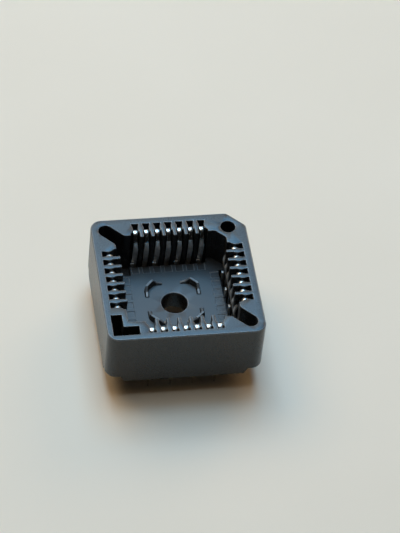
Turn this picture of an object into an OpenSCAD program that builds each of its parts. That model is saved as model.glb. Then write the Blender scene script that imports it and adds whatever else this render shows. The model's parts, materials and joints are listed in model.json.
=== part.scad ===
// Chip carrier socket, square, seven sprung contacts on each side, tails for a drilled board.
// Millimetres, +Z up. The origin is the centre of the face that rests on the board.
// +Y is the side away from the viewer, the bevelled polarity corner is at +X +Y.

/* [Housing] */
// Outside width of the square housing
body_w = 17.8; // [17.6:0.1:18.4]
// Height of the housing above the board
body_h = 7.2; // [7.1:0.1:7.8]
// Thickness of the outside wall behind the contact slots
wall_t = 0.85; // [0.8:0.05:0.9]
// Radius of the upright outside corners
corner_r = 1.3; // [0.8:0.1:1.6]
// Length cut off each side by the polarity bevel
polarity_cut = 2; // [1.5:0.1:2.3]
// Radius at both ends of the polarity bevel
polarity_r = 0.7; // [0.3:0.1:1]
// Height of the relief under each corner
relief_h = 0.8; // [0.4:0.1:1]
// Width of the relief under each corner, measured at the board
relief_w = 2.1; // [1.6:0.1:2.3]

/* [Cavity] */
// Width of the corner lands, from the outside to the chip cavity
land_w = 2.55; // [2.5:0.05:2.6]
// Height of the cavity floor above the board
floor_h = 2.4; // [2.2:0.1:2.6]
// Distance from the outside to the edge of the floor at the contact wells
floor_in = 3.2; // [3.15:0.05:3.3]
// Height of the bottom of the contact wells
well_h = 1.2; // [1.1:0.05:1.3]
// Length cut off each side of the cavity at the polarity corner
cavity_cut = 1.1; // [0.9:0.1:1.5]
// Radius at both ends of that cut
cavity_cut_r = 0.4; // [0.2:0.1:0.6]
// Diameter of the hole through the middle of the floor
centre_hole_d = 3; // [2.6:0.1:3.4]
// Diameter of the polarity hole in the top face
index_hole_d = 1.7; // [1.2:0.1:1.8]
// Distance from the outside to the middle of the polarity hole
index_hole_in = 2.1; // [2.05:0.05:2.2]
// Depth of the polarity hole
index_hole_deep = 4; // [2:0.5:5]
// Width of the two corner slots for the extraction tool
tool_slot_w = 1.65; // [1.4:0.05:1.8]
// Height of the bottom of the extraction slots
tool_slot_h = 1.5; // [1.4:0.1:2]
// Width of the arms of the angled corner pocket
pocket_w = 1.2; // [0.8:0.1:1.2]
// Wall between the angled corner pocket and the row of contact slots
pocket_wall = 0.8; // [0.7:0.05:1.3]
// Thickness of the outside wall at the angled corner pocket
pocket_out_wall = 0.7; // [0.6:0.05:0.8]
// Depth of the four pockets around the centre hole
floor_pocket_deep = 0.5; // [0.3:0.1:0.9]
// Depth of the lead rests at the edge of the floor
lead_rest_deep = 0.08; // [0.05:0.01:0.15]
// Length of the lead rests
lead_rest_len = 1.05; // [0.8:0.05:1.2]
// Rise between two lead rests
lead_rest_gap = 0.32; // [0.26:0.02:0.4]

/* [Ribs] */
// Spacing of the contacts along a side
pitch = 1.27; // [1.25:0.01:1.28]
// Width of a rib where it joins the outside wall
rib_root_w = 0.5; // [0.42:0.02:0.54]
// Width of the bulge of a rib
rib_bulge_w = 0.72; // [0.66:0.02:0.74]
// Length of the bulge of a rib
rib_bulge_len = 1.5; // [1.3:0.1:1.5]
// Distance from the outside wall to the middle of the bulge of a rib
rib_bulge_out = 0.68; // [0.6:0.02:0.72]
// Width of the finger of a rib
rib_finger_w = 0.42; // [0.36:0.02:0.46]
// How far the rib fingers reach into the cavity past its corner lands
rib_reach = 0.3; // [0.2:0.05:0.35]

/* [Contacts] */
// Thickness of the contact strip
strip_t = 0.22; // [0.18:0.01:0.24]
// Distance from the outside to the resting contact bulge
bulge_in = 2.9; // [2.85:0.01:2.95]
// Height of the contact bulge above the board
bulge_h = 4.8; // [4.6:0.05:4.9]
// Lean of the lower beam toward the cavity, in degrees
beam_lean = 9; // [8:0.5:10]
// Lean of the upper arm away from the cavity, in degrees
arm_lean = 30; // [28:1:32]
// Depth of the contact tips below the top face
tip_below = 0.36; // [0.3:0.02:0.46]
// Radius of the curled contact tips, at the middle of the strip
curl_r = 0.42; // [0.36:0.02:0.46]
// Side clearance of a contact tip in the neck of its slot
tip_clear = 0.045; // [0.03:0.005:0.06]
// Side clearance of a contact beam between two rib fingers
beam_clear = 0.135; // [0.1:0.005:0.16]
// Radial clearance of the rolled beam foot in its cup
foot_clear = 0.02; // [0.01:0.005:0.03]

/* [Tails] */
// Length of the tails below the board face
tail_len = 2.7; // [2.4:0.1:3.4]
// Width of a tail
tail_w = 0.46; // [0.4:0.02:0.5]
// Length of the narrowed point of a tail
tail_point = 0.5; // [0.3:0.1:0.8]
// Distance from the outside to the outer row of tails
tail_outer_in = 1.28; // [1.2:0.01:1.4]
// Distance from the outside to the inner row of tails
tail_inner_in = 3.82; // [3.7:0.01:3.9]
// Side clearance of a tail in its groove under the housing
groove_clear = 0.05; // [0.03:0.01:0.08]
// Height of the upright foot beside every second beam
lance_h = 1.3; // [1:0.1:1.5]

/* [Hidden] */
$fn = 48;
per_side = 7;
count = 4 * per_side;
// How far cuts run past a face, and how far joined shapes lap
past = 1;
lap = 0.1;
plastic = [0.2, 0.21, 0.23];
metal = [0.78, 0.79, 0.8];
half = body_w / 2;
slot_r = half - wall_t;
land_r = half - land_w;
floor_r = half - floor_in;
bulge_r = half - bulge_in;
tail_outer_r = half - tail_outer_in;
tail_inner_r = half - tail_inner_in;
row_half = per_side * pitch / 2;
rib_tip_r = land_r - rib_reach;
rib_bulge_r = slot_r - rib_bulge_out;
rib_arc_r = (rib_bulge_len * rib_bulge_len + rib_bulge_w * rib_bulge_w) / (4 * rib_bulge_w);
pocket_out = half - pocket_out_wall;
pocket_in = pocket_out - pocket_w;
pocket_end = row_half + pocket_wall;
index_at = half - index_hole_in;
lead_rest_r = floor_r - lead_rest_len;
lead_rest_w = pitch - lead_rest_gap;
// The square notch under the cavity corner, and the tool slot that starts in it
notch_lap = 0.045;
notch_in = row_half - notch_lap;
tool_in = notch_in + tool_slot_w / 2;
tool_end = slot_r - tool_slot_w / 2;
// Pockets in the floor, around the ring of the centre hole
floor_ring_r = 2.9;
floor_square = 3.3;
floor_cut = 0.87;
floor_arm = 1.05;
// Contact widths follow the gaps between the ribs
tip_w = pitch - rib_bulge_w - 2 * tip_clear;
beam_w = pitch - rib_finger_w - 2 * beam_clear;
stem_w = beam_w;
// Contact centre line, r outward and z up
curl_over = 35;
foot_r = 0.2;
cup_t = 0.2;
cup_in = foot_r + foot_clear;
cup_out = cup_in + cup_t;
tip_z = body_h - tip_below - strip_t / 2;
curl_z = tip_z - curl_r;
bend_to_rise = 1.06;
bend_r = bend_to_rise * (curl_z - bulge_h);
bend_c = [bulge_r + strip_t / 2 + bend_r, bulge_h];
low_end = bend_c + bend_r * [-cos(beam_lean), -sin(beam_lean)];
top_end = bend_c + bend_r * [-cos(arm_lean), sin(arm_lean)];
foot_z = well_h + cup_out;
foot_at = [low_end[0] + (low_end[1] - foot_z) * tan(beam_lean), foot_z];
arm_rise = curl_z + curl_r * sin(arm_lean) - top_end[1];
arm_end = top_end + [arm_rise * tan(arm_lean), arm_rise];
curl_c = arm_end + curl_r * [cos(arm_lean), -sin(arm_lean)];
// The strip narrows on the bend, between these heights
taper_lap = bend_r / 8;
taper_z = bulge_h + taper_lap;
neck_z = top_end[1] - taper_lap;
// Tail run in its groove, and the stem that rises from it into the cup
groove_h = 0.6;
run_z = groove_h - strip_t / 2;
knee_r = 0.26;
stem_lap = 0.12;
point_w = 0.4 * tail_w;
// Upright foot beside the beam, cut from the same strip
lance_t = 0.24;
lance_lap = 0.11;
lance_start = 0.03;

function two(n) = n < 10 ? str("0", n) : str(n);
function tail_name(k) = str("contact_", two(k + 1), "_tail");
function spring_name(k) = str("contact_", two(k + 1), "_spring");
function side(k) = floor((k + 3) / per_side) % 4;
function place(k) = (k + 3) % per_side - 3;
function outer_row(k) = abs(place(k)) % 2 == 1;

function around(c, r, a) = c + r * [cos(a), sin(a)];
// Points of a bend about c, from angle a0 to a1 in n steps
function bend(c, r, a0, a1, n) = [for (i = [0 : n]) around(c, r, a0 + (a1 - a0) * i / n)];
// Bevel of length cut across the corner [at, at], with round ends
function bevel(at, cut, r) = concat(
    bend([at - cut - r * tan(22.5), at - r], r, 90, 45, 4),
    bend([at - r, at - cut - r * tan(22.5)], r, 45, 0, 4)
);
// One side of the beam, at distance d from its centre line
function beam_side(d) = concat(
    [foot_at - d * [cos(beam_lean), sin(beam_lean)]],
    bend(bend_c, bend_r + d, 180 + beam_lean, 180 - arm_lean, 12),
    bend(curl_c, curl_r + d, 180 - arm_lean, 90 - curl_over, 10)
);
function reverse(list) = [for (i = [len(list) - 1 : -1 : 0]) list[i]];

// Moves a piece drawn at the middle of the +X side to the place of contact k
module at_contact(k) {
    rotate([0, 0, 90 * side(k)])
        translate([0, place(k) * pitch, 0])
            children();
}

// Repeats a piece drawn at +X on all four sides
module four_sides() {
    for (s = [0 : 3])
        rotate([0, 0, 90 * s])
            children();
}

// Draws each r-z outline as a slab of width w across the row
module across(w) {
    for (i = [0 : $children - 1])
        translate([0, w / 2, 0])
            rotate([90, 0, 0])
                linear_extrude(w)
                    children(i);
}

// Draws a t-z outline as a slab along r, from r0 to r1
module along(r0, r1) {
    translate([r0, 0, 0])
        rotate([90, 0, 90])
            linear_extrude(r1 - r0)
                children();
}

// Cuts an outline down from above to height z
module down_to(z) {
    translate([0, 0, z])
        linear_extrude(body_h)
            children();
}

// Part of a ring about c, from angle a0 to a1
module arc(c, r_in, r_out, a0, a1) {
    far = 2.2 * r_out;
    mid = (a0 + a1) / 2;
    intersection() {
        translate(c)
            difference() {
                circle(r_out);
                circle(r_in);
            }
        polygon([c, around(c, far, a0), around(c, far, mid), around(c, far, a1)]);
    }
}

// Straight strip between two points of the centre line
module leg(p, q) {
    d = q - p;
    n = strip_t / 2 * [-d[1], d[0]] / norm(d);
    polygon([p + n, q + n, q - n, p - n]);
}

// What a bevel takes off the corner [at, at]
module off_corner(at, cut, r) {
    polygon(concat(bevel(at, cut, r), [[at + past, at + past]]));
}

// Square outline with round corners and the polarity bevel
module body_outline() {
    difference() {
        square(body_w, center = true);
        for (a = [90, 180, 270])
            rotate(a)
                translate([half - corner_r, half - corner_r])
                    difference() {
                        square(corner_r + past);
                        circle(corner_r);
                    }
        off_corner(half, polarity_cut, polarity_r);
    }
}

// One rib: root at the wall, bulge, and a finger toward the cavity
module rib(finger) {
    translate([rib_bulge_r, -rib_root_w / 2])
        square([rib_bulge_out + lap, rib_root_w]);
    intersection() {
        translate([rib_bulge_r, rib_arc_r - rib_bulge_w / 2])
            circle(rib_arc_r);
        translate([rib_bulge_r, rib_bulge_w / 2 - rib_arc_r])
            circle(rib_arc_r);
    }
    if (finger)
        translate([rib_tip_r, -rib_finger_w / 2])
            square([rib_bulge_r - rib_tip_r, rib_finger_w]);
}

// The end ribs have no finger, because the lands are there
module row_ribs() {
    for (j = [0 : per_side])
        translate([0, (j - per_side / 2) * pitch])
            rib(j > 0 && j < per_side);
}

module row_area() {
    translate([floor_r, -row_half])
        square([slot_r - floor_r, 2 * row_half]);
}

// Wells that hold the contacts below the floor
module well_outline() {
    difference() {
        four_sides()
            row_area();
        four_sides()
            row_ribs();
    }
}

// Cavity and contact slots above the floor
module open_outline() {
    difference() {
        union() {
            difference() {
                square(2 * land_r, center = true);
                off_corner(land_r, cavity_cut, cavity_cut_r);
            }
            four_sides()
                row_area();
        }
        four_sides()
            row_ribs();
    }
}

// Corner slot that lets an extraction hook under the chip
module tool_outline() {
    translate([notch_in, notch_in])
        square(land_r - notch_in);
    translate([tool_end, tool_end])
        circle(tool_slot_w / 2);
    rotate(45)
        translate([tool_in * sqrt(2), -tool_slot_w / 2])
            square([(tool_end - tool_in) * sqrt(2), tool_slot_w]);
}

// Pocket that wraps around the square corner of the cavity
module corner_pocket() {
    difference() {
        translate([pocket_end, pocket_end])
            square(pocket_out - pocket_end);
        square(pocket_in);
    }
}

// Pocket outside the ring of the centre hole
module floor_pocket() {
    difference() {
        polygon([
            [floor_arm, floor_arm],
            [floor_square, floor_arm],
            [floor_square, floor_square - floor_cut],
            [floor_square - floor_cut, floor_square],
            [floor_arm, floor_square]
        ]);
        circle(floor_ring_r);
    }
}

// Relief under one corner, with sloped sides
module corner_relief() {
    foot = half - relief_w;
    slope = [
        [foot, -past],
        [half + past, -past],
        [half + past, relief_h],
        [foot + relief_h / 2, relief_h],
        [foot, 0]
    ];
    intersection() {
        translate([0, half + past, 0])
            rotate([90, 0, 0])
                linear_extrude(half + past)
                    polygon(slope);
        along(0, half + past)
            polygon(slope);
    }
}

// Groove for the tail run, and the slot that grips the stem
module contact_seat(outer) {
    w = tail_w + 2 * groove_clear;
    near = outer ? foot_at[0] - strip_t / 2 : tail_inner_r - strip_t / 2 - groove_clear;
    away = outer ? tail_outer_r + strip_t / 2 + groove_clear : foot_at[0] + strip_t / 2;
    translate([near, -w / 2, -past])
        cube([away - near, w, groove_h + past]);
    translate([foot_at[0] - strip_t / 2, -stem_w / 2, -past])
        cube([strip_t, stem_w, well_h + past + lap]);
}

module housing() {
    color(plastic)
        difference() {
            linear_extrude(body_h)
                body_outline();
            four_sides()
                corner_relief();
            down_to(floor_h)
                open_outline();
            down_to(well_h)
                well_outline();
            for (a = [90, 270])
                down_to(tool_slot_h)
                    rotate(a)
                        tool_outline();
            down_to(tool_slot_h)
                rotate(180)
                    corner_pocket();
            translate([index_at, index_at, body_h - index_hole_deep])
                cylinder(h = index_hole_deep + past, d = index_hole_d);
            translate([0, 0, -past])
                cylinder(h = floor_h + 2 * past, d = centre_hole_d);
            down_to(floor_h - floor_pocket_deep)
                four_sides()
                    floor_pocket();
            for (k = [0 : count - 1])
                at_contact(k) {
                    contact_seat(outer_row(k));
                    translate([lead_rest_r, -lead_rest_w / 2, floor_h - lead_rest_deep])
                        cube([lead_rest_len + lap, lead_rest_w, past]);
                }
        }
}

// Fixed part of a contact: cup, stem, run in the groove and tail
module contact_tail(k) {
    outer = outer_row(k);
    tail_r = outer ? tail_outer_r : tail_inner_r;
    turn = outer ? 1 : -1;
    knee = [tail_r - turn * knee_r, run_z - knee_r];
    color(metal)
        at_contact(k) {
            across(stem_w) {
                arc(foot_at, cup_in, cup_out, 180, 270);
                arc(foot_at, cup_in, cup_out, 270, 360);
                translate([foot_at[0] - strip_t / 2, groove_h - strip_t])
                    square([strip_t, well_h + stem_lap - groove_h + strip_t]);
            }
            intersection() {
                across(2 * tail_w) {
                    leg([foot_at[0] - turn * strip_t / 2, run_z], [knee[0], run_z]);
                    arc(knee, knee_r - strip_t / 2, knee_r + strip_t / 2, outer ? 0 : 90, outer ? 90 : 180);
                    leg([tail_r, knee[1]], [tail_r, -tail_len]);
                }
                along(0, half)
                    polygon([
                        [-tail_w / 2, groove_h + past],
                        [-tail_w / 2, tail_point - tail_len],
                        [-point_w / 2, -tail_len],
                        [point_w / 2, -tail_len],
                        [tail_w / 2, tail_point - tail_len],
                        [tail_w / 2, groove_h + past]
                    ]);
            }
            if (outer)
                translate([foot_at[0] - cup_out - lance_t + lance_lap, lance_start, well_h])
                    cube([lance_t, stem_w / 2 + beam_clear - lance_start, lance_h]);
        }
}

// Moving part of a contact: rolled foot, beam, bulge, arm and curled tip
module contact_spring(k) {
    color(metal)
        at_contact(k)
            intersection() {
                across(2 * beam_w) {
                    translate(foot_at)
                        circle(foot_r);
                    polygon(concat(beam_side(strip_t / 2), reverse(beam_side(-strip_t / 2))));
                }
                along(0, half)
                    polygon([
                        [-beam_w / 2, 0],
                        [beam_w / 2, 0],
                        [beam_w / 2, taper_z],
                        [tip_w / 2, neck_z],
                        [tip_w / 2, body_h],
                        [-tip_w / 2, body_h],
                        [-tip_w / 2, neck_z],
                        [-beam_w / 2, taper_z]
                    ]);
            }
}

housing();
for (k = [0 : count - 1])
    contact_tail(k);
for (k = [0 : count - 1])
    contact_spring(k);
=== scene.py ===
import json
import math

import bmesh
import bpy
from mathutils import Matrix, Vector


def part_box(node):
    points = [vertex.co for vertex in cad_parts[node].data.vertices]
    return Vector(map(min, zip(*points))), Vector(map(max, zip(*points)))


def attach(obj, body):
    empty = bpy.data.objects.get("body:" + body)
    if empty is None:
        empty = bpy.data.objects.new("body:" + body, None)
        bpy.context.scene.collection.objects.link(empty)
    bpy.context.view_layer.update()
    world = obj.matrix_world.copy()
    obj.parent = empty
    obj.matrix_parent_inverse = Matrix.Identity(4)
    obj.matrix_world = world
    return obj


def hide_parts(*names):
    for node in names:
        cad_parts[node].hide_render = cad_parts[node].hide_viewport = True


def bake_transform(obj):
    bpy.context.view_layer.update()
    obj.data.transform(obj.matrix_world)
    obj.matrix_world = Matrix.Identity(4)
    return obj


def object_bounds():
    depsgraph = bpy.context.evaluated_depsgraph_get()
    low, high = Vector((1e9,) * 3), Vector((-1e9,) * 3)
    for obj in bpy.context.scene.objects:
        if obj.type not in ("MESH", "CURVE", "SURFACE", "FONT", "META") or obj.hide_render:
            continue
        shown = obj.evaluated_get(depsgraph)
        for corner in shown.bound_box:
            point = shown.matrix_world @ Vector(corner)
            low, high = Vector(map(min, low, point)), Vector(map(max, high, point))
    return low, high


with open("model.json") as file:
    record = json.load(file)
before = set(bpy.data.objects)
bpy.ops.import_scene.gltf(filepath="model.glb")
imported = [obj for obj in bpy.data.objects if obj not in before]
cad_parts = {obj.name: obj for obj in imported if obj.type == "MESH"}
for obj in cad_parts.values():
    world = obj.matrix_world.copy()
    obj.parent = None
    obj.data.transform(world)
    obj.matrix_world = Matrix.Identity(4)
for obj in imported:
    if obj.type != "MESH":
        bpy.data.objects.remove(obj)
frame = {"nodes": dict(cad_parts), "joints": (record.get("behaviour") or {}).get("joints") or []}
cad_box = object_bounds()

# Sizes in metres and angles in degrees, in the frame of the CAD model
MM = 0.001

# How near counts as equal, how far upward a flat face points, and from which angle an edge stays sharp
CLOSE = 0.01 * MM
FLAT = 0.99
SHARP = 40

# Rows of contacts
PITCH = 1.27 * MM
PER_SIDE = 7
CONTACTS = 4 * PER_SIDE
ROW_HALF = PER_SIDE / 2 * PITCH

# Contact strip
STRIP_T = 0.22 * MM
STRIP_EDGE = 0.03 * MM
TAIL_W = 0.46 * MM
BEAM_W = 0.58 * MM
TIP_W = 0.46 * MM
POINT_W = 0.18 * MM
OUTER_TAIL_R = 7.62 * MM
INNER_TAIL_R = 5.08 * MM
RUN_LEVEL = 0.49 * MM
KNEE_R = 0.26 * MM
STEM_R = 0.2 * MM
FOOT_R = 1.0 * MM
BEAM_LEAN = 9
BULGE_LEVEL = 4.8 * MM
BEND_R = 1.6 * MM
ARM_LEAN = 30
CURL_R = 0.42 * MM
CURL_OVER = 35
CURL_END = 0.02 * MM

# Where a strip is parted near its foot, so that it bends smoothly there
PARTED_BELOW = (0.45 * MM, 0.3 * MM, 0.18 * MM)
PARTED_ABOVE = (0.15 * MM, 0.3 * MM, 0.45 * MM, 0.6 * MM)

# Small foot beside every second beam
TONGUE_W = 0.39 * MM
TONGUE_R = 6.164 * MM
TONGUE_IN = 0.05 * MM
TONGUE_LEVEL = 1.31 * MM
TONGUE_TOP = 2.5 * MM
TONGUE_BEND_R = 0.16 * MM
TONGUE_SHIFT = 0.2275 * MM

# Dullness of the tin at shares of the height of the socket, from the board up
DULL_AT = ((0.02, 0), (0.12, 1), (0.75, 1), (0.83, 0), (0.88, 0), (0.94, 0.45))

# Housing
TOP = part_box("housing")[1].z
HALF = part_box("housing")[1].x
FLOOR = 2.4 * MM
LOWEST_FLOOR = 1.8 * MM
LAND_R = 6.35 * MM
LAND_FROM = 5 * MM
RIB_TIP_R = 6.05 * MM
HOLE_ZONE = 2 * MM
POCKET_ZONE = 4 * MM
POCKET_DEEP = 0.6 * MM
LAND_ROUND = 0.2 * MM
FINGER_ROUND = 0.1 * MM
OUTER_ROUND = 0.15 * MM
SLOT_ROUND = 0.09 * MM
HOLE_ROUND = 0.12 * MM
ROUND_STEPS = 3

# Lead rests and ramps on the floor
REST_LEVEL = 2.32 * MM
REST_SLOPE = 0.09 * MM
REST_MIDDLE_R = 5 * MM
RAMP_R = 2.95 * MM
RAMP_CORNER_R = 3.63 * MM
RAMP_CUT = 0.3 * MM
RAMP_END = 1.03 * MM
RAMP_W = 0.52 * MM
RAMP_TOP_W = 0.3 * MM
RAMP_EDGE = 0.05 * MM
RAMP_STEP = 0.05 * MM
RAMP_HEIGHTS = ((0.58 * MM, 0.75 * MM), (1.05 * MM, 0.3 * MM), (1.7 * MM, 0.1 * MM))

# Table and lamps
TABLE = cad_box[0][2]
TABLE_R = 3
FADE_FROM = 0.12
FADE_TO = 0.5
SURROUND = (0.66, 0.64, 0.58, 1)
LAMP_AWAY = 0.6


class Wire:
    """An output of a node that can be used in sums."""

    def __init__(self, tree, socket):
        self.tree = tree
        self.socket = socket

    @classmethod
    def node(cls, tree, kind, settings=None, values=None, out=0):
        """Adds a node, sets it up, fills or links its inputs and returns one of its outputs."""
        made = tree.nodes.new(kind)
        for name, value in (settings or {}).items():
            if name == "stops":
                while len(made.color_ramp.elements) < len(value):
                    made.color_ramp.elements.new(0.5)
                for stop, (place, colour) in zip(made.color_ramp.elements, value):
                    stop.position = place
                    stop.color = colour
            else:
                setattr(made, name, value)
        for name, value in (values or {}).items():
            if isinstance(value, Wire):
                tree.links.new(value.socket, made.inputs[name])
            else:
                made.inputs[name].default_value = value
        return cls(tree, made.outputs[out])

    def math(self, operation, first, second):
        return Wire.node(self.tree, "ShaderNodeMath", {"operation": operation}, {0: first, 1: second})

    def __add__(self, other):
        return self.math("ADD", self, other)

    def __radd__(self, other):
        return self.math("ADD", other, self)

    def __sub__(self, other):
        return self.math("SUBTRACT", self, other)

    def __rsub__(self, other):
        return self.math("SUBTRACT", other, self)

    def __mul__(self, other):
        return self.math("MULTIPLY", self, other)

    def __rmul__(self, other):
        return self.math("MULTIPLY", other, self)


def new_material(name):
    """A new material, its tree and its shader node."""
    material = bpy.data.materials.new(name)
    material.use_nodes = True
    tree = material.node_tree
    return material, tree, tree.nodes["Principled BSDF"]


def attribute(tree, name):
    return Wire.node(tree, "ShaderNodeAttribute", {"attribute_name": name}, out="Fac")


def grain(tree, place, size, detail=4, rough=0.6):
    """Noise with spots of the given size."""
    values = {"Vector": place, "Scale": 1 / size, "Detail": detail, "Roughness": rough}
    return Wire.node(tree, "ShaderNodeTexNoise", {}, values)


def ramp(tree, factor, *stops):
    return Wire.node(tree, "ShaderNodeValToRGB", {"stops": stops}, {"Fac": factor})


def link(tree, wire, node, socket):
    tree.links.new(wire.socket, node.inputs[socket])


def charcoal_plastic():
    """Dark filled plastic, matt from the mould, with a painted highlight in a paler colour on the rounded
    rims, rest slopes and ramp tops.
    """
    material, tree, shader = new_material("charcoal_plastic")
    place = Wire.node(tree, "ShaderNodeTexCoord", out="Object")
    flow = grain(tree, place, 3 * MM, 3)
    filler = grain(tree, place, 0.12 * MM, 5)
    tone = ramp(
        tree,
        flow * 0.7 + filler * 0.3,
        (0.3, (0.017, 0.0175, 0.018, 1)),
        (0.7, (0.023, 0.0235, 0.024, 1)),
    )
    # Painted highlight: the pale colour B is mixed in where the rubbed attribute marks rims, rest slopes
    # and ramp tops, in place of the light they catch
    colour = Wire.node(
        tree,
        "ShaderNodeMix",
        {"data_type": "RGBA"},
        {"Factor": attribute(tree, "rubbed") * filler * 1.2, "A": tone, "B": (0.2, 0.21, 0.22, 1)},
        out=2,
    )
    link(tree, colour, shader, "Base Color")
    etched = attribute(tree, "etched")
    link(tree, 0.21 + filler * 0.1 + flow * 0.04 + etched * 0.12, shader, "Roughness")
    bump = {"Strength": 0.25, "Distance": 0.004 * MM, "Height": filler}
    link(tree, Wire.node(tree, "ShaderNodeBump", {}, bump), shader, "Normal")
    return material


def tin_plate():
    """Tin over a rolled strip with fine lines along it: dull beams, bright arms and softer tips."""
    material, tree, shader = new_material("tin_plate")
    run = {"X": attribute(tree, "along_strip") * 0.08, "Y": attribute(tree, "across_strip")}
    rolled = grain(tree, Wire.node(tree, "ShaderNodeCombineXYZ", {}, run), 0.05 * MM, 3)
    place = Wire.node(tree, "ShaderNodeTexCoord", out="Object")
    patches = grain(tree, place, 0.5 * MM, 4)
    height = Wire.node(tree, "ShaderNodeSeparateXYZ", {}, {"Vector": place}, out="Z")
    dull = ramp(tree, height * (1 / TOP), *((share, (level, level, level, 1)) for share, level in DULL_AT))
    tone = ramp(tree, patches, (0.3, (0.62, 0.62, 0.61, 1)), (0.6, (0.82, 0.82, 0.81, 1)))
    link(tree, tone, shader, "Base Color")
    shader.inputs["Metallic"].default_value = 1
    link(tree, 0.08 + dull * 0.4 + patches * 0.1 + rolled * 0.05, shader, "Roughness")
    bump = {"Strength": 0.2, "Distance": 0.002 * MM, "Height": rolled}
    link(tree, Wire.node(tree, "ShaderNodeBump", {}, bump), shader, "Normal")
    return material


PLASTIC = charcoal_plastic()
TIN = tin_plate()


def add_mesh(name, mesh):
    piece = bpy.data.objects.new(name, mesh)
    bpy.context.scene.collection.objects.link(piece)
    return piece


def mark(face, layer, amount):
    """Writes an amount to the corners of a face."""
    for corner in face.loops:
        corner[layer] = amount


def round_uprights(mesh, chosen, size, steps):
    """Rounds the upright outside corners of a bmesh that the test picks."""

    def outside_upright(edge):
        run = edge.verts[0].co - edge.verts[1].co
        upright = run.xy.length < 0.001 * MM
        return upright and edge.is_manifold and edge.calc_face_angle_signed(0) > math.radians(30)

    bmesh.ops.bevel(
        mesh,
        geom=[edge for edge in mesh.edges if outside_upright(edge) and chosen(edge.verts[0].co)],
        offset=size,
        offset_type="OFFSET",
        segments=steps,
        profile=0.5,
        affect="EDGES",
        clamp_overlap=True,
    )


def rims_at(faces):
    """The rims of some faces, each a ring of corners with the faces on its left."""
    inside = set(faces)
    follow = {}
    for face in faces:
        for corner in face.loops:
            if corner.link_loop_radial_next.face not in inside:
                follow[corner.vert] = corner.link_loop_next.vert
    rims = []
    while follow:
        rim = [next(iter(follow))]
        while rim[-1] in follow:
            rim.append(follow.pop(rim[-1]))
        rims.append(rim[:-1])
    return rims


def round_rims(mesh, level, size_at, rubbed, feet=()):
    """Rounds the rims of the flat faces at one level, where size_at gives a radius at a corner and not 0.

    feet are the open edges of what stands on those faces.
    """

    def at_level(face):
        return face.normal.z > FLAT and abs(face.calc_center_median().z - level) < 0.001 * MM

    faces = [face for face in mesh.faces if at_level(face)]
    rims = rims_at(faces)
    bmesh.ops.delete(mesh, geom=faces, context="FACES")
    ends = list(feet)
    for rim in rims:
        count = len(rim)
        sizes = [size_at(corner.co, rim) for corner in rim]
        if not all(sizes):
            ends += [mesh.edges.get((rim[i], rim[i - 1])) for i in range(count)]
            continue
        ways = []
        for i in range(count):
            before = (rim[i].co - rim[i - 1].co).xy.normalized()
            after = (rim[(i + 1) % count].co - rim[i].co).xy.normalized()
            inward = Vector((-before.y - after.y, before.x + after.x))
            ways.append(inward / (1 + before.dot(after)))
        places = [corner.co.copy() for corner in rim]
        last = rim
        for corner, size in zip(rim, sizes):
            corner.co.z -= size
        for step in range(1, ROUND_STEPS + 1):
            turn = math.pi / 2 * step / ROUND_STEPS
            ring = []
            for place, way, size in zip(places, ways, sizes):
                x, y = place.xy + way * size * (1 - math.cos(turn))
                ring.append(mesh.verts.new((x, y, place.z - size * (1 - math.sin(turn)))))
            for i in range(count):
                # Painted highlight: each rounded rim face is marked for the pale colour of the plastic
                mark(mesh.faces.new((last[i - 1], last[i], ring[i], ring[i - 1])), rubbed, 1)
            last = ring
        ends += [mesh.edges.get((last[i], last[i - 1])) for i in range(count)]
    bmesh.ops.triangle_fill(mesh, edges=ends, use_beauty=True, normal=(0, 0, 1))


def sloped_rests_with_painted_highlight(mesh, rubbed):
    """Slopes the steps round the lead rests at the edges of the floor and paints a highlight on the slopes
    in a paler colour.
    """
    bottoms = {vert for vert in mesh.verts if abs(vert.co.z - REST_LEVEL) < 0.005 * MM}
    for vert in bottoms:
        out = 0 if abs(vert.co.x) > abs(vert.co.y) else 1
        across = vert.co[1 - out]
        vert.co[1 - out] += math.copysign(REST_SLOPE, round(across / PITCH) * PITCH - across)
        if abs(vert.co[out]) < REST_MIDDLE_R:
            vert.co[out] += math.copysign(REST_SLOPE, vert.co[out])
    mesh.normal_update()
    for face in mesh.faces:
        # Painted highlight: the sloped step faces get the pale colour, which also lifts their shade
        if 0.3 < face.normal.z < FLAT and bottoms.intersection(face.verts):
            mark(face, rubbed, 1.1)


def ramp_line():
    """The middle line of a ramp, along the cut corner and both arms: places, ways outward and lengths."""
    middle = RAMP_CORNER_R / math.sqrt(2)
    bend_r = (RAMP_R - middle - RAMP_CUT / math.sqrt(2)) / (1 - math.cos(math.pi / 4))
    place = Vector((middle, middle))
    half = []
    while place.y > RAMP_END:
        along = len(half) * RAMP_STEP
        turn = math.pi / 4 - min(max(along - RAMP_CUT, 0) / bend_r, math.pi / 4)
        outward = Vector((math.cos(turn), math.sin(turn)))
        half.append((place, outward, along))
        place = place + Vector((outward.y, -outward.x)) * RAMP_STEP
    return half[::-1] + [(place.yx, outward.yx, along) for place, outward, along in half[1:]]


def ramp_height(along):
    """High round the corner, steep beside it and low toward the ends."""
    if along <= RAMP_HEIGHTS[0][0]:
        return RAMP_HEIGHTS[0][1]
    for (near, high), (far, low) in zip(RAMP_HEIGHTS, RAMP_HEIGHTS[1:]):
        if along <= far:
            return high + (low - high) * (along - near) / (far - near)
    return RAMP_HEIGHTS[-1][1]


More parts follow.
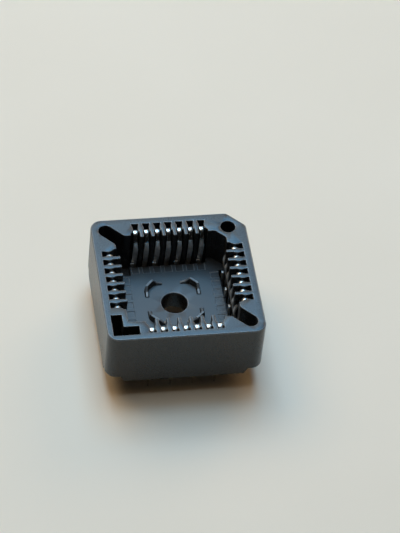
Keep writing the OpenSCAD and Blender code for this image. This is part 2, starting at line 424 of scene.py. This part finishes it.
def floor_ramps(mesh, rubbed):
    """Four raised ramps in the corners of the floor in place of its pockets.

    Returns the edges of their feet.
    """

    def in_pocket(face):
        middle = face.calc_center_median()
        inside = HOLE_ZONE < middle.xy.length and max(abs(middle.x), abs(middle.y)) < POCKET_ZONE
        return inside and FLOOR - POCKET_DEEP < middle.z < FLOOR - CLOSE

    bmesh.ops.delete(mesh, geom=[face for face in mesh.faces if in_pocket(face)], context="FACES")
    feet = []
    for quarter in range(4):
        turn = Matrix.Rotation(math.radians(90 * quarter), 2)
        rows = []
        for place, outward, along in ramp_line():
            high = ramp_height(along)
            half, half_top = RAMP_W / 2, RAMP_TOP_W / 2
            flank = [(half, 0), (half_top, high - RAMP_EDGE), (half_top - RAMP_EDGE, high)]
            row = []
            for across, rise in [(-across, rise) for across, rise in flank] + flank[::-1]:
                x, y = turn @ (place + outward * across)
                row.append(mesh.verts.new((x, y, FLOOR + rise)))
            rows.append(row)
        for row, after in zip(rows, rows[1:]):
            for i in range(len(row) - 1):
                face = mesh.faces.new((row[i], row[i + 1], after[i + 1], after[i]))
                # Painted highlight: the top of each ramp and its chamfered edges are marked for the pale
                # colour
                mark(face, rubbed, 0.7 if i in (1, 2, 3) else 0)
            feet += [mesh.edges.get((row[i], after[i])) for i in (0, -1)]
        mesh.faces.new(rows[0][::-1])
        mesh.faces.new(rows[-1])
        feet += [mesh.edges.get((row[0], row[-1])) for row in (rows[0], rows[-1])]
    return feet


def moulded_housing():
    """The CAD housing with small round edges, sloped rests and the ramps of its floor, with painted
    highlights on the rims, rest slopes and ramp tops.
    """
    mesh = bmesh.new()
    mesh.from_mesh(frame["nodes"]["housing"].data)
    bmesh.ops.remove_doubles(mesh, verts=mesh.verts, dist=0.0002 * MM)
    bmesh.ops.dissolve_limit(mesh, angle_limit=math.radians(0.5), verts=mesh.verts, edges=mesh.edges)

    def land_tip(place):
        near, far = sorted((abs(place.x), abs(place.y)))
        return place.x * place.y < 0 and near > LAND_FROM and abs(far - LAND_R) < CLOSE

    def finger_tip(place):
        near, far = sorted((abs(place.x), abs(place.y)))
        return near < ROW_HALF and abs(far - RIB_TIP_R) < CLOSE

    def top_round(place, rim):
        outer = max(abs(corner.co.x) for corner in rim) > HALF - CLOSE
        return OUTER_ROUND if outer else SLOT_ROUND

    def floor_round(place, rim):
        return HOLE_ROUND if place.xy.length < HOLE_ZONE else 0

    def on_floor(face):
        middle = face.calc_center_median()
        inside = max(abs(middle.x), abs(middle.y)) < LAND_R
        return face.normal.z > 0.5 and inside and LOWEST_FLOOR < middle.z < FLOOR + CLOSE

    round_uprights(mesh, land_tip, LAND_ROUND, 4)
    round_uprights(mesh, finger_tip, FINGER_ROUND, 3)
    rubbed = mesh.loops.layers.float.new("rubbed")
    round_rims(mesh, TOP, top_round, rubbed)
    sloped_rests_with_painted_highlight(mesh, rubbed)
    feet = floor_ramps(mesh, rubbed)
    round_rims(mesh, FLOOR, floor_round, rubbed, feet)
    etched = mesh.loops.layers.float.new("etched")
    for face in mesh.faces:
        face.smooth = True
        if on_floor(face):
            mark(face, etched, 1)
    for edge in mesh.edges:
        edge.smooth = edge.calc_face_angle(0) < math.radians(SHARP)
    for edge in feet:
        edge.smooth = False
    shell = bpy.data.meshes.new("housing_moulding")
    mesh.to_mesh(shell)
    mesh.free()
    shell.attributes.remove(shell.attributes["custom_normal"])
    shell.materials.append(PLASTIC)
    piece = add_mesh("housing_moulding", shell)
    piece.modifiers.new("flat_faces", "WEIGHTED_NORMAL").keep_sharp = True
    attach(piece, "socket")
    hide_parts("housing")


def strip_tree():
    """Sweeps a flat strip with round edges along a path of straight runs and bends."""
    tree = bpy.data.node_groups.new("formed_strip", "GeometryNodeTree")
    tree.interface.new_socket("Path", in_out="INPUT", socket_type="NodeSocketGeometry")
    sizes = {
        "Thickness": STRIP_T,
        "Edge radius": STRIP_EDGE,
        "Tail width": TAIL_W,
        "Beam width": BEAM_W,
        "Tip width": TIP_W,
        "Point width": POINT_W,
        "Tail end": TABLE,
        "Point length": 0.5 * MM,
        "Stem bottom": 0.62 * MM,
        "Stem taper": 0.1 * MM,
        "Taper start": 5.0 * MM,
        "Taper end": 5.4 * MM,
        "Row shift": 0,
        "Turn": 0,
    }
    for name, value in sizes.items():
        made = tree.interface.new_socket(name, in_out="INPUT", socket_type="NodeSocketFloat")
        made.default_value = value
    tree.interface.new_socket("Strip", in_out="OUTPUT", socket_type="NodeSocketGeometry")
    entry = tree.nodes.new("NodeGroupInput")
    given = {socket.name: Wire(tree, socket) for socket in entry.outputs}

    def node(kind, settings=None, values=None, out=0):
        return Wire.node(tree, kind, settings, values, out)

    def climb(low, high):
        """0 below one height of the path and 1 above another."""
        heights = {"Value": height, "From Min": low, "From Max": high}
        return node("ShaderNodeMapRange", {"clamp": True}, heights)

    def store(geometry, name, value, kind="FLOAT"):
        settings = {"data_type": kind, "domain": "POINT"}
        values = {"Geometry": geometry, "Name": name, "Value": value}
        return node("GeometryNodeStoreNamedAttribute", settings, values)

    def stored(name, kind="FLOAT"):
        return node("GeometryNodeInputNamedAttribute", {"data_type": kind}, {"Name": name})

    def part(vector, letter):
        return node("ShaderNodeSeparateXYZ", {}, {"Vector": vector}, letter)

    line = node("GeometryNodeMeshToCurve", {}, {"Mesh": given["Path"]})
    bends = {"Curve": line, "Count": 6, "Radius": stored("corner_radius"), "Limit Radius": True}
    line = node("GeometryNodeFilletCurve", {"mode": "POLY"}, bends)
    line = store(line, "middle", node("GeometryNodeInputPosition"), "FLOAT_VECTOR")
    line = store(line, "along_strip", node("GeometryNodeSplineParameter", out="Length"))
    line = node("GeometryNodeSetCurveNormal", {"mode": "FREE"}, {"Curve": line, "Normal": (0, 1, 0)})
    section = {"Width": given["Beam width"], "Height": given["Thickness"]}
    section = node("GeometryNodeCurvePrimitiveQuadrilateral", {"mode": "RECTANGLE"}, section)
    edges = {"Curve": section, "Count": 2, "Radius": given["Edge radius"]}
    section = node("GeometryNodeFilletCurve", {"mode": "POLY"}, edges)
    swept = {"Curve": line, "Profile Curve": section, "Fill Caps": True}
    strip = node("GeometryNodeCurveToMesh", {}, swept)

    middle = stored("middle", "FLOAT_VECTOR")
    height = part(middle, "Z")
    side = part(node("GeometryNodeInputPosition"), "Y") - part(middle, "Y")
    point = climb(given["Tail end"], given["Tail end"] + given["Point length"])
    stem = climb(given["Stem bottom"], given["Stem bottom"] + given["Stem taper"])
    neck = climb(given["Taper start"], given["Taper end"])
    width = given["Point width"] + (given["Tail width"] - given["Point width"]) * point
    width += (given["Beam width"] - given["Tail width"]) * stem
    width += (given["Tip width"] - given["Beam width"]) * neck
    spread = 0.5 * (width - given["Beam width"])
    sign = node("ShaderNodeMath", {"operation": "SIGN"}, {0: side})
    move = node("ShaderNodeCombineXYZ", {}, {"Y": sign * spread})
    strip = store(strip, "across_strip", side)
    strip = node("GeometryNodeSetPosition", {}, {"Geometry": strip, "Offset": move})
    for spare in ("middle", "corner_radius"):
        strip = node("GeometryNodeRemoveAttribute", {}, {"Geometry": strip, "Name": spare})
    shift = node("ShaderNodeCombineXYZ", {}, {"Y": given["Row shift"]})
    strip = node("GeometryNodeTransform", {}, {"Geometry": strip, "Translation": shift})
    turn = node("ShaderNodeCombineXYZ", {}, {"Z": given["Turn"]})
    strip = node("GeometryNodeTransform", {}, {"Geometry": strip, "Rotation": turn})
    strip = node("GeometryNodeRealizeInstances", {}, {"Geometry": strip})
    strip = node("GeometryNodeSetMaterial", {}, {"Geometry": strip, "Material": TIN})
    leave = tree.nodes.new("NodeGroupOutput")
    tree.links.new(strip.socket, leave.inputs["Strip"])
    return tree


STRIP_TREE = strip_tree()


def swept_strip(name, path, **sizes):
    """A plain mesh swept along a path of (r, z, corner radius), with sizes in place of the tree's own."""
    line = bpy.data.meshes.new(name + "_path")
    line.from_pydata([(r, 0, z) for r, z, _ in path], [(i, i + 1) for i in range(len(path) - 1)], [])
    bends = line.attributes.new("corner_radius", "FLOAT", "POINT")
    bends.data.foreach_set("value", [radius for _, _, radius in path])
    draft = add_mesh(name + "_path", line)
    sweep = draft.modifiers.new("sweep", "NODES")
    sweep.node_group = STRIP_TREE
    for socket in STRIP_TREE.interface.items_tree:
        key = socket.name.lower().replace(" ", "_")
        if key in sizes:
            sweep[socket.identifier] = sizes[key]
    ready = draft.evaluated_get(bpy.context.evaluated_depsgraph_get())
    mesh = bpy.data.meshes.new_from_object(ready)
    mesh.name = name
    bpy.data.objects.remove(draft)
    bpy.data.meshes.remove(line)
    mesh.polygons.foreach_set("use_smooth", [True] * len(mesh.polygons))
    mesh.set_sharp_from_angle(angle=math.radians(SHARP))
    mesh.update()
    return add_mesh(name, mesh)


def bend_corner(centre, radius, start, end):
    """Where the straight runs on both sides of a bend would meet."""
    middle = math.radians((start + end) / 2)
    reach = radius / math.cos(math.radians((start - end) / 2))
    return centre[0] + reach * math.cos(middle), centre[1] + reach * math.sin(middle), radius


def contact_path(foot, tail_r, bulge_r, tip_z):
    """The middle line of a contact, from the end of its tail to its curled tip."""
    lean = math.tan(math.radians(BEAM_LEAN))
    path = [(tail_r, TABLE, 0), (tail_r, RUN_LEVEL, KNEE_R), (foot[0], RUN_LEVEL, STEM_R)]
    path += [(foot[0], foot[1] - drop, 0) for drop in PARTED_BELOW]
    path.append((foot[0], foot[1], FOOT_R))
    path += [(foot[0] - rise * lean, foot[1] + rise, 0) for rise in PARTED_ABOVE]
    bend = (bulge_r + STRIP_T / 2 + BEND_R, BULGE_LEVEL)
    path.append(bend_corner(bend, BEND_R, 180 + BEAM_LEAN, 180 - ARM_LEAN))
    arm = math.radians(ARM_LEAN)
    curl_z = tip_z - STRIP_T / 2 - CURL_R
    rise = curl_z + CURL_R * math.sin(arm) - (BULGE_LEVEL + BEND_R * math.sin(arm))
    curl = (bend[0] - BEND_R * math.cos(arm) + rise * math.tan(arm) + CURL_R * math.cos(arm), curl_z)
    path.append(bend_corner(curl, CURL_R, 180 - ARM_LEAN, 90 - CURL_OVER))
    end = math.radians(90 - CURL_OVER)
    path.append((
        curl[0] + CURL_R * math.cos(end) + CURL_END * math.sin(end),
        curl[1] + CURL_R * math.sin(end) - CURL_END * math.cos(end),
        0,
    ))
    return path


def formed_contacts():
    """All contacts, each one strip from tail to tip that bends at its foot."""
    joints = {joint["child"]: joint for joint in frame["joints"]}
    foot_at = Vector(joints["contact_01"]["pos_m"])
    foot = (foot_at.x, foot_at.z)
    low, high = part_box("contact_01_spring")
    first = PER_SIDE // 2
    for k in range(CONTACTS):
        name = f"contact_{k + 1:02d}"
        side = (k + first) // PER_SIDE % 4
        place = (k + first) % PER_SIDE - first
        outer = place % 2 == 1
        turn = math.radians(90 * side)
        along = place * PITCH
        path = contact_path(foot, OUTER_TAIL_R if outer else INNER_TAIL_R, low.x, high.z)
        strip = swept_strip(name + "_strip", path, row_shift=along, turn=turn)
        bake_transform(strip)
        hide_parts(name + "_tail", name + "_spring")
        if outer:
            path = [
                (foot[0] - TONGUE_IN, TONGUE_LEVEL, 0),
                (TONGUE_R, TONGUE_LEVEL, TONGUE_BEND_R),
                (TONGUE_R, TONGUE_TOP, 0),
            ]
            tongue = swept_strip(
                name + "_tongue",
                path,
                beam_width=TONGUE_W,
                tail_width=TONGUE_W,
                row_shift=along + TONGUE_SHIFT,
                turn=turn,
            )
            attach(tongue, "socket")
            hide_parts(name + "_tail")


def pale_table():
    """A plain floor under the tails, which fades into the pale surround."""
    mesh = bpy.data.meshes.new("table")
    corners = [(x * TABLE_R, y * TABLE_R, TABLE) for x, y in ((-1, -1), (1, -1), (1, 1), (-1, 1))]
    mesh.from_pydata(corners, [], [(0, 1, 2, 3)])
    material, tree, shader = new_material("pale_board")
    place = Wire.node(tree, "ShaderNodeTexCoord", out="Object")
    clouds = grain(tree, place, 30 * MM, 2)
    tone = ramp(tree, clouds, (0.3, (0.78, 0.66, 0.53, 1)), (0.7, (0.8, 0.68, 0.55, 1)))
    link(tree, tone, shader, "Base Color")
    shader.inputs["Roughness"].default_value = 0.8
    reach = Wire.node(tree, "ShaderNodeVectorMath", {"operation": "LENGTH"}, {0: place}, out="Value")
    fade = {"Value": reach, "From Min": FADE_FROM, "From Max": FADE_TO}
    fade = Wire.node(tree, "ShaderNodeMapRange", {"clamp": True}, fade)
    seen = Wire.node(tree, "ShaderNodeLightPath", out="Is Camera Ray")
    seen += Wire.node(tree, "ShaderNodeLightPath", out="Is Glossy Ray")
    glow = Wire.node(tree, "ShaderNodeEmission", {}, {"Color": SURROUND})
    board = Wire(tree, shader.outputs["BSDF"])
    blend = Wire.node(tree, "ShaderNodeMixShader", {}, {"Fac": fade * seen, 1: board, 2: glow})
    link(tree, blend, tree.nodes["Material Output"], "Surface")
    mesh.materials.append(material)
    add_mesh("table", mesh)


def soft_lamp(name, azimuth, elevation, size, radiance, colour):
    """A square soft box that points at the socket. Azimuth 0 is +Y and turns toward +X."""
    lamp = bpy.data.lights.new(name, "AREA")
    lamp.shape = "SQUARE"
    lamp.size = size
    lamp.energy = radiance * math.pi * size * size
    lamp.color = colour
    az, el = math.radians(azimuth), math.radians(elevation)
    away = Vector((math.sin(az) * math.cos(el), math.cos(az) * math.cos(el), math.sin(el)))
    box = bpy.data.objects.new(name, lamp)
    box.location = away * LAMP_AWAY
    box.rotation_euler = away.to_track_quat("Z", "Y").to_euler()
    bpy.context.scene.collection.objects.link(box)


def studio():
    """Soft boxes: cool and blue ones behind, a white one above, warm ones beside and in front.

    Round them is a surround that is pale at the horizon and dark above it.
    """
    soft_lamp("back_soft_box", 0, 45, 0.26, 2.6, (0.74, 0.88, 0.96))
    soft_lamp("sky_soft_box", 2, 67, 0.33, 6.8, (0.18, 0.57, 1.0))
    soft_lamp("left_soft_box", -38, 50, 0.36, 3.6, (1.0, 0.78, 0.5))
    soft_lamp("right_soft_box", 38, 32, 0.28, 3.0, (1.0, 0.7, 0.4))
    soft_lamp("top_soft_box", 0, 85, 0.28, 4.2, (0.84, 0.95, 1.0))
    soft_lamp("front_soft_box", 185, 74, 0.22, 0.8, (1.0, 0.74, 0.42))
    world = bpy.data.worlds.new("surround")
    world.use_nodes = True
    bpy.context.scene.world = world
    tree = world.node_tree
    way = Wire.node(tree, "ShaderNodeTexCoord", out="Generated")
    height = Wire.node(tree, "ShaderNodeSeparateXYZ", {}, {"Vector": way}, out="Z")
    band = ramp(tree, height, (0.05, SURROUND), (0.07, (0.004, 0.0036, 0.0032, 1)))
    link(tree, band, tree.nodes["Background"], "Color")


def camera_view():
    """The camera of the photograph, from its fitted place over the middle of the top face."""
    azimuth, elevation, roll = (math.radians(a) for a in (13.202, 48.636, 6.453))
    distance = 304.833 * MM
    focal_px = 2715.493
    width_px, height_px = 400, 533
    top_centre_px = (177.349, 275.066)
    ahead = Vector((
        math.sin(azimuth) * math.cos(elevation),
        math.cos(azimuth) * math.cos(elevation),
        -math.sin(elevation),
    ))
    right = ahead.cross(Vector((0, 0, 1))).normalized()
    up = right.cross(ahead)
    tilted_right = math.cos(roll) * right + math.sin(roll) * up
    tilted_up = math.cos(roll) * up - math.sin(roll) * right
    across = (top_centre_px[0] - width_px / 2) / focal_px * distance
    down = (top_centre_px[1] - height_px / 2) / focal_px * distance
    place = Vector((0, 0, TOP)) - tilted_right * across + tilted_up * down - ahead * distance
    lens = bpy.data.cameras.new("photo_camera")
    lens.sensor_fit = "HORIZONTAL"
    lens.sensor_width = 36
    lens.lens = focal_px / width_px * lens.sensor_width
    lens.clip_start = 0.01
    camera = bpy.data.objects.new("photo_camera", lens)
    axes = Matrix((tilted_right, tilted_up, -ahead)).transposed()
    camera.matrix_world = Matrix.Translation(place) @ axes.to_4x4()
    bpy.context.scene.collection.objects.link(camera)
    bpy.context.scene.camera = camera


camera_view()
moulded_housing()
formed_contacts()
pale_table()
studio()
bpy.context.scene.view_settings.view_transform = "Standard"
